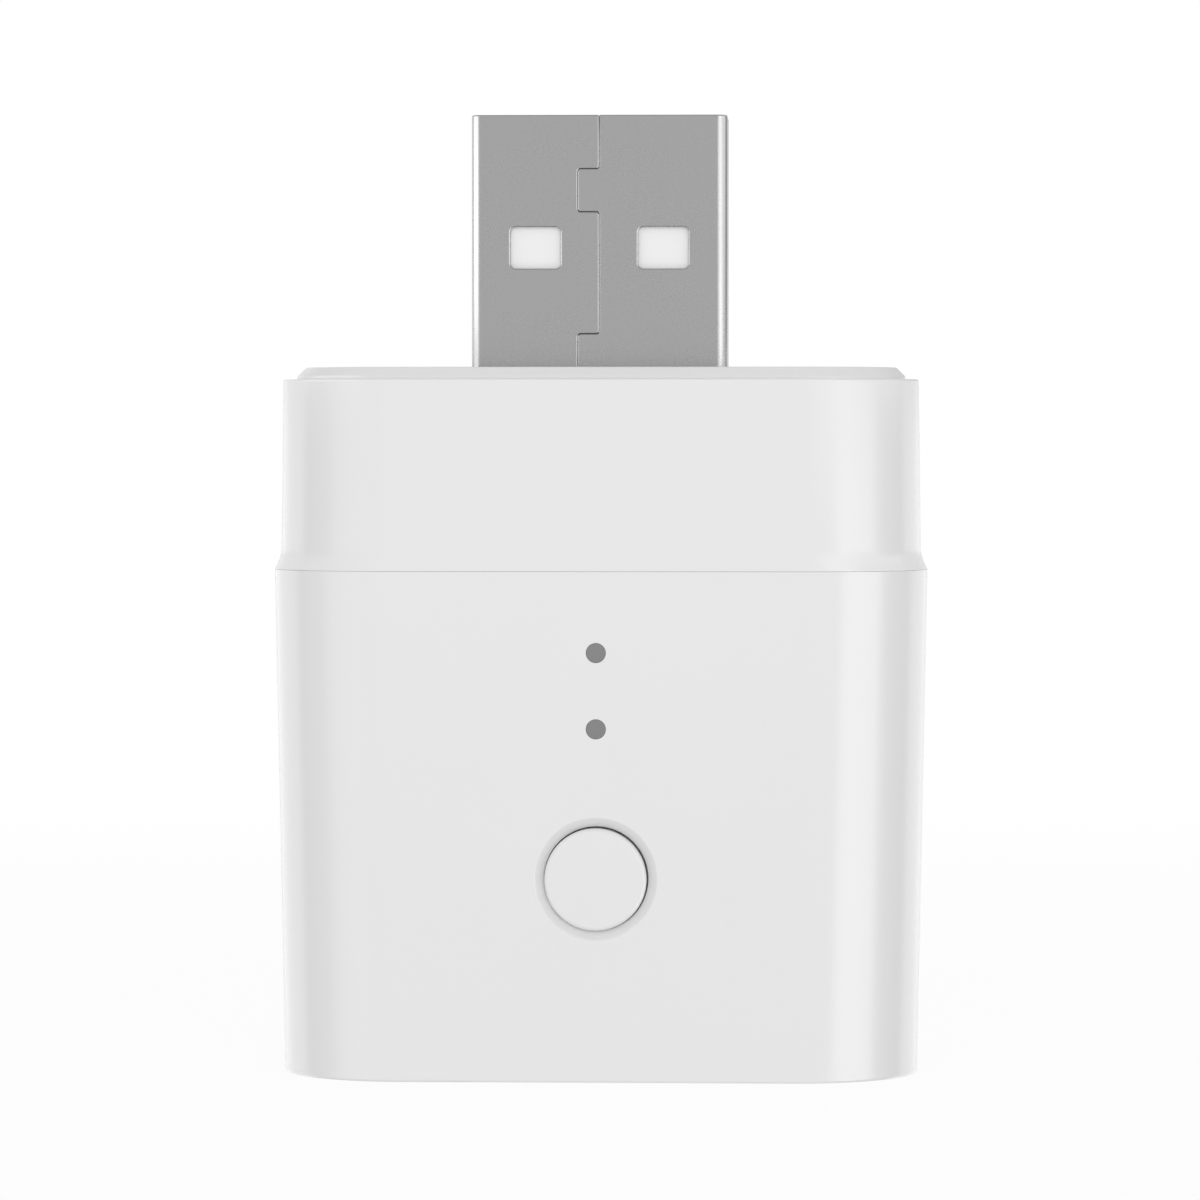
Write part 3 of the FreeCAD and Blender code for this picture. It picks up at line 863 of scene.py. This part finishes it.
def make_board_green():
    """Green lacquer over the faint raised lines of the copper under it, with bare edges."""
    material, tree, shader = start_material("board green")
    where = place(tree, "ShaderNodeTexCoord")
    clouds = place(tree, "ShaderNodeTexNoise")
    clouds.inputs["Scale"].default_value = 500
    tree.links.new(where.outputs["Object"], clouds.inputs["Vector"])
    turned = place(tree, "ShaderNodeMapping")
    turned.inputs["Rotation"].default_value = (math.pi / 2, 0, 0)
    turned.inputs["Scale"].default_value = (400, 400, 400)
    tree.links.new(where.outputs["Object"], turned.inputs["Vector"])
    tracks = place(tree, "ShaderNodeTexBrick")
    tracks.inputs["Scale"].default_value = 1
    tracks.inputs["Mortar Size"].default_value = 0.04
    tracks.inputs["Mortar Smooth"].default_value = 0.2
    tree.links.new(turned.outputs[0], tracks.inputs["Vector"])
    lacquer = place(tree, "ShaderNodeMix", data_type="RGBA")
    lacquer.inputs["A"].default_value = (0.012, 0.11, 0.04, 1)
    lacquer.inputs["B"].default_value = (0.03, 0.22, 0.08, 1)
    amount = sum_of(tree, sum_of(tree, clouds.outputs["Fac"], 0.5), tracks.outputs["Fac"], "ADD")
    tree.links.new(amount, lacquer.inputs["Factor"])
    normal = place(tree, "ShaderNodeSeparateXYZ")
    tree.links.new(where.outputs["Normal"], normal.inputs[0])
    facing = sum_of(tree, normal.outputs["Y"], 0.0, "ABSOLUTE")
    is_edge = sum_of(tree, facing, 0.5, "LESS_THAN")
    board = place(tree, "ShaderNodeMix", data_type="RGBA")
    board.inputs["B"].default_value = (0.55, 0.47, 0.26, 1)
    tree.links.new(is_edge, board.inputs["Factor"])
    tree.links.new(lacquer.outputs["Result"], board.inputs["A"])
    tree.links.new(board.outputs["Result"], shader.inputs["Base Color"])
    rougher = sum_of(tree, is_edge, bare_edge_roughness - lacquer_roughness)
    tree.links.new(sum_of(tree, rougher, lacquer_roughness, "ADD"), shader.inputs["Roughness"])
    relief = place(tree, "ShaderNodeBump")
    relief.inputs["Strength"].default_value = 0.4
    relief.inputs["Distance"].default_value = 0.02 * mm
    tree.links.new(tracks.outputs["Fac"], relief.inputs["Height"])
    tree.links.new(relief.outputs["Normal"], shader.inputs["Normal"])
    return material


dress("main_board", make_board_green())


# Antenna trace
# The meander of copper at the foot of the board's back, which radiates and receives. It is etched out of
# the foil that the board is made with.

dress("antenna_trace", make_metal("trace copper", (0.75, 0.38, 0.2), 0.35, 0.12))


# Shield can and crystal
# A drawn lid of tin-plated steel, soldered round its foot, covers the radio chip and its memory. The
# crystal beside them is a small sealed can of the same look.

can_steel = make_metal("can steel", (0.6, 0.6, 0.57), 0.32, 0.08)
for node in ("shield_can", "crystal"):
    dress(node, can_steel)


# Chips
# Black moulded epoxy bodies with a faint grain. The legs of the surge protector and of the voltage
# regulator are tinned strips that stand out at their ends.

def outside_band(tree, place_on_axis, low, high):
    """1 where a coordinate lies outside the band from low to high, in millimetres."""
    below = sum_of(tree, place_on_axis, low * mm, "LESS_THAN")
    above = sum_of(tree, place_on_axis, high * mm, "GREATER_THAN")
    return sum_of(tree, below, above, "MAXIMUM")


def make_bodied(name, body_colour, end_colour, axis, low, high):
    """A moulded body between two levels along one axis, with bare metal outside them."""
    material, tree, shader = start_material(name)
    effect = add_effect(
        tree, shader, moulded_grain, 0.3, 0.01, Color=(*body_colour, 1), Tone_Spread=0.15,
        Roughness=0.45, Roughness_Spread=0.1, Grain_Scale=9000,
    )
    where = place(tree, "ShaderNodeTexCoord")
    split = place(tree, "ShaderNodeSeparateXYZ")
    tree.links.new(where.outputs["Object"], split.inputs[0])
    is_end = outside_band(tree, split.outputs[axis], low, high)
    colour = place(tree, "ShaderNodeMix", data_type="RGBA")
    colour.inputs["B"].default_value = (*end_colour, 1)
    tree.links.new(is_end, colour.inputs["Factor"])
    tree.links.new(effect.outputs["Color"], colour.inputs["A"])
    tree.links.new(colour.outputs["Result"], shader.inputs["Base Color"])
    tree.links.new(is_end, shader.inputs["Metallic"])
    return material


chip_colour = (0.022, 0.022, 0.024)
tin_colour = (0.62, 0.61, 0.58)
pad_thickness = 0.05
leg_overhang = 0.24
regulator_lead = 1.2
for node in ("radio_chip", "flash_chip"):
    chip_low, chip_high = box_of(node)
    span = (chip_low.y + pad_thickness, chip_high.y + pad_thickness)
    dress(node, make_bodied(node + " epoxy", chip_colour, tin_colour, "Y", *span))
chip_low, chip_high = box_of("esd_protector")
span = (chip_low.z + leg_overhang, chip_high.z - leg_overhang)
dress("esd_protector", make_bodied("protector epoxy", chip_colour, tin_colour, "Z", *span))
chip_low, chip_high = box_of("voltage_regulator")
span = (chip_low.z + regulator_lead, chip_high.z - regulator_lead)
dress("voltage_regulator", make_bodied("regulator epoxy", chip_colour, tin_colour, "Z", *span))


# Capacitors and resistors
# The input capacitor is a tan moulded block with tinned feet at its sides. The small chip parts are fired
# ceramic bricks with tinned caps at both ends, soldered in two rows.

capacitor_foot = 0.35
cap_length = 0.2
chip_low, chip_high = box_of("input_capacitor")
span = (chip_low.x + capacitor_foot, chip_high.x - capacitor_foot)
dress("input_capacitor", make_bodied("capacitor tan", (0.52, 0.33, 0.13), tin_colour, "X", *span))
for node, colour in (("chip_capacitors", (0.5, 0.36, 0.22)), ("chip_resistors", (0.03, 0.03, 0.03))):
    chip_low, chip_high = box_of(node)
    span = (chip_low.z + cap_length, chip_high.z - cap_length)
    dress(node, make_bodied(node + " brick", colour, tin_colour, "Z", *span))


# Indicator lamps
# Two small lamps on the front of the board, one behind each light guide. Each is a clear resin lens that is
# cast on a white base.

lamp_base = 0.25


def make_lamp_clear():
    """Clear resin in front of the white base that the lamp's chip sits on."""
    material, tree, shader = start_material("lamp clear")
    effect = add_effect(
        tree, shader, moulded_grain, 0.1, 0.003, Color=(0.85, 0.84, 0.7, 1), Tone_Spread=0.03,
        Roughness=0.2, Roughness_Spread=0.04, Grain_Scale=7000,
    )
    shader.inputs["Coat Weight"].default_value = 0.6
    where = place(tree, "ShaderNodeTexCoord")
    split = place(tree, "ShaderNodeSeparateXYZ")
    tree.links.new(where.outputs["Object"], split.inputs[0])
    lamp_back = box_of("status_led_upper")[1].y
    is_base = sum_of(tree, split.outputs["Y"], (lamp_back - lamp_base) * mm, "GREATER_THAN")
    colour = place(tree, "ShaderNodeMix", data_type="RGBA")
    colour.inputs["B"].default_value = (0.8, 0.8, 0.8, 1)
    tree.links.new(is_base, colour.inputs["Factor"])
    tree.links.new(effect.outputs["Color"], colour.inputs["A"])
    tree.links.new(colour.outputs["Result"], shader.inputs["Base Color"])
    return material


lamp_clear = make_lamp_clear()
for node in ("status_led_upper", "status_led_lower"):
    dress(node, lamp_clear)


# Tactile switch
# Behind the button: a black moulded base soldered by four bent terminals, a snap dome of spring steel in
# its pocket, a black plunger on the dome, and a sheet metal cover that keeps the plunger in.

def make_switch_black():
    """Black moulded plastic with a plain grain."""
    material, tree, shader = start_material("switch black")
    add_effect(
        tree, shader, moulded_grain, 0.3, 0.006, Color=(0.03, 0.03, 0.032, 1), Tone_Spread=0.1,
        Roughness=0.42, Roughness_Spread=0.08, Grain_Scale=8000,
    )
    return material


switch_black = make_switch_black()
spring_steel = make_metal("spring steel", (0.58, 0.58, 0.6), 0.2, 0.06)
dress("switch_cover", can_steel)
for node in ("switch_base", "switch_plunger"):
    dress(node, switch_black)
for node in ("switch_dome", "switch_terminals"):
    dress(node, spring_steel)


# Studio
# A white table that fades into an even white room, with a large soft lamp in front and a weaker one behind.
# Cards beside, over and under the stick, which only show in reflections, give its round ends their bands.
# The camera stands in front, a little to the right, at about the height of the ledge.

camera_turn = 2.3224
camera_distance = 272.594
camera_height = 30.16
aim_across = 0.195
aim_height = 22.4515
lens_length = 176.536
sensor_width = 36.0
table_size = 4000.0
table_below = 0.01
table_glow = 0.87
table_matt_share = 0.12
table_matt_within = (60.0, 260.0)
room_glow = 0.70
lamp_distance = 320.0
lamp_size = 300.0
round_end_middle = (9.4, -0.3)
far_cards = 150.0
near_cards = 45.0
nearest_cards = 22.0
body_levels = (-300.0, 33.0)
near_body_levels = (-150.0, 33.0)
plug_levels = (33.0, 82.0)
near_plug_levels = (34.0, 49.0)


def shows_white(tree):
    """1 for the rays that should meet plain white: those of the camera, of gloss and of glass."""
    rays = place(tree, "ShaderNodeLightPath")
    seen = sum_of(tree, rays.outputs["Is Camera Ray"], rays.outputs["Is Glossy Ray"], "MAXIMUM")
    return sum_of(tree, seen, rays.outputs["Is Transmission Ray"], "MAXIMUM")


def white_or(tree, other):
    """Strength 1 for the rays that should meet white, and another strength for matt light."""
    level = place(tree, "ShaderNodeMix", data_type="FLOAT")
    level.inputs["A"].default_value = other
    level.inputs["B"].default_value = 1.0
    tree.links.new(shows_white(tree), level.inputs["Factor"])
    return level.outputs["Result"]


def make_table_white(ambient):
    """White to the eye everywhere. Near the stick a part of it is matt and takes the stick's shadow."""
    material = bpy.data.materials.new("table white")
    material.use_nodes = True
    tree = material.node_tree
    tree.nodes.remove(tree.nodes["Principled BSDF"])
    where = place(tree, "ShaderNodeTexCoord")
    far = place(tree, "ShaderNodeVectorMath", operation="LENGTH")
    tree.links.new(where.outputs["Object"], far.inputs[0])
    share = place(tree, "ShaderNodeMapRange", interpolation_type="SMOOTHSTEP")
    share.inputs["From Min"].default_value = table_matt_within[0] * mm
    share.inputs["From Max"].default_value = table_matt_within[1] * mm
    share.inputs["To Min"].default_value = table_matt_share
    share.inputs["To Max"].default_value = 0.0
    tree.links.new(far.outputs["Value"], share.inputs["Value"])
    matt = place(tree, "ShaderNodeBsdfDiffuse")
    matt.inputs["Color"].default_value = (1, 1, 1, 1)
    glow = place(tree, "ShaderNodeEmission")
    tree.links.new(white_or(tree, ambient), glow.inputs["Strength"])
    both = place(tree, "ShaderNodeMixShader")
    tree.links.new(share.outputs["Result"], both.inputs["Fac"])
    tree.links.new(glow.outputs[0], both.inputs[1])
    tree.links.new(matt.outputs[0], both.inputs[2])
    tree.links.new(both.outputs[0], tree.nodes["Material Output"].inputs["Surface"])
    return material


def make_room(ambient):
    """The world: white to the eye and in reflections, and a plain level of matt light all round."""
    world = bpy.data.worlds.new("room")
    bpy.context.scene.world = world
    world.use_nodes = True
    tree = world.node_tree
    sky = tree.nodes["Background"]
    sky.inputs["Color"].default_value = (1, 1, 1, 1)
    tree.links.new(white_or(tree, ambient), sky.inputs["Strength"])


def around(angle, distance, middle=(0, 0)):
    """Where a line at an angle from the middle ends. Angle 0 is straight in front, 90 is to the right."""
    turned = math.radians(angle)
    return middle[0] + distance * math.sin(turned), middle[1] - distance * math.cos(turned)


def add_softbox(name, angle, height, strength):
    """A flat square lamp that faces the stick, with its brightness as seen from the stick."""
    light = bpy.data.lights.new(name, "AREA")
    light.size = lamp_size * mm
    light.energy = strength * math.pi * light.size ** 2
    lamp = bpy.data.objects.new(name, light)
    bpy.context.scene.collection.objects.link(lamp)
    x, y = around(angle, lamp_distance)
    lamp.location = Vector((x, y, height)) * mm
    facing = Vector((0, 0, aim_height * mm)) - lamp.location
    lamp.rotation_euler = facing.to_track_quat("-Z", "Y").to_euler()
    lamp.visible_glossy = False


def make_card(name, place_of_card, rotation, width, tall, glow):
    """A card of one brightness that only shows in reflections."""
    clear_selection()
    bpy.ops.mesh.primitive_plane_add(size=1, location=Vector(place_of_card) * mm, rotation=rotation)
    card = bpy.context.object
    card.name = name
    card.scale = (width * mm, tall * mm, 1)
    bpy.ops.object.transform_apply(location=True, rotation=True, scale=True)
    material = bpy.data.materials.new(name)
    material.use_nodes = True
    tree = material.node_tree
    tree.nodes.remove(tree.nodes["Principled BSDF"])
    light = place(tree, "ShaderNodeEmission")
    light.inputs["Strength"].default_value = glow
    tree.links.new(light.outputs[0], tree.nodes["Material Output"].inputs["Surface"])
    material.cycles.emission_sampling = "NONE"
    card.data.materials.append(material)
    card.visible_camera = False
    card.visible_diffuse = False
    card.visible_transmission = False
    card.visible_shadow = False


def add_card(name, side, start, end, distance, levels, glow):
    """An upright card that a round end (side -1 is left) mirrors from start to end degrees."""
    middle = side * (start + end) / 2
    x, y = around(middle, distance, (side * round_end_middle[0], round_end_middle[1]))
    width = 2 * distance * math.tan(math.radians(end - start) / 2)
    low, high = levels
    rotation = (math.pi / 2, 0, math.radians(middle))
    make_card(name, (x, y, (low + high) / 2), rotation, width, high - low, glow)


def add_level_card(name, height, size, glow):
    """A square card that lies level over or under the stick."""
    make_card(name, (0, 0, height), (0, 0, 0), size, size, glow)


clear_selection()
bpy.ops.mesh.primitive_plane_add(size=table_size * mm, location=(0, 0, -table_below * mm))
table = bpy.context.object
table.name = "table"
table.visible_glossy = False
table.data.materials.append(make_table_white(table_glow))

make_room(room_glow)
add_softbox("front lamp", angle=3, height=95, strength=1.32)
add_softbox("back lamp", angle=180, height=90, strength=0.7)
add_card("right bright card", 1, 34, 74, far_cards, body_levels, glow=3.55)
add_card("right dark card", 1, 78, 112, near_cards, near_body_levels, glow=0.22)
add_card("right back card", 1, 114, 160, far_cards, body_levels, glow=1.5)
add_card("right upper bright card", 1, 16, 55, far_cards, plug_levels, glow=2.8)
add_card("right upper pale card", 1, 55, 110, far_cards, plug_levels, glow=1.95)
add_card("right upper back card", 1, 112, 170, nearest_cards, near_plug_levels, glow=0.6)
add_card("left pale card", -1, 28, 58, far_cards, body_levels, glow=1.45)
add_card("left dark card", -1, 63, 98, near_cards, near_body_levels, glow=0.15)
add_card("left back card", -1, 102, 156, far_cards, body_levels, glow=1.6)
add_card("left upper card", -1, 36, 102, nearest_cards, near_plug_levels, glow=3.5)
add_card("left upper back card", -1, 102, 156, far_cards, plug_levels, glow=1.3)
add_level_card("dark card above", height=180, size=440, glow=0.75)
add_level_card("dark card below", height=-120, size=300, glow=0.5)

turn_angle = math.radians(camera_turn)
across = Vector((math.cos(turn_angle), math.sin(turn_angle), 0))
towards = Vector((math.sin(turn_angle), -math.cos(turn_angle), 0))
front_middle = Vector((0, front, 0)) * mm
eye = front_middle + (towards * camera_distance + across * aim_across) * mm
eye.z = camera_height * mm
aim_point = front_middle + across * aim_across * mm
aim_point.z = aim_height * mm
camera_data = bpy.data.cameras.new("camera")
camera_data.sensor_width = sensor_width
camera_data.lens = lens_length
camera_data.clip_start = 0.01
camera = bpy.data.objects.new("camera", camera_data)
bpy.context.scene.collection.objects.link(camera)
camera.location = eye
camera.rotation_euler = (aim_point - eye).to_track_quat("-Z", "Y").to_euler()
bpy.context.scene.camera = camera
bpy.context.scene.view_settings.view_transform = "Standard"
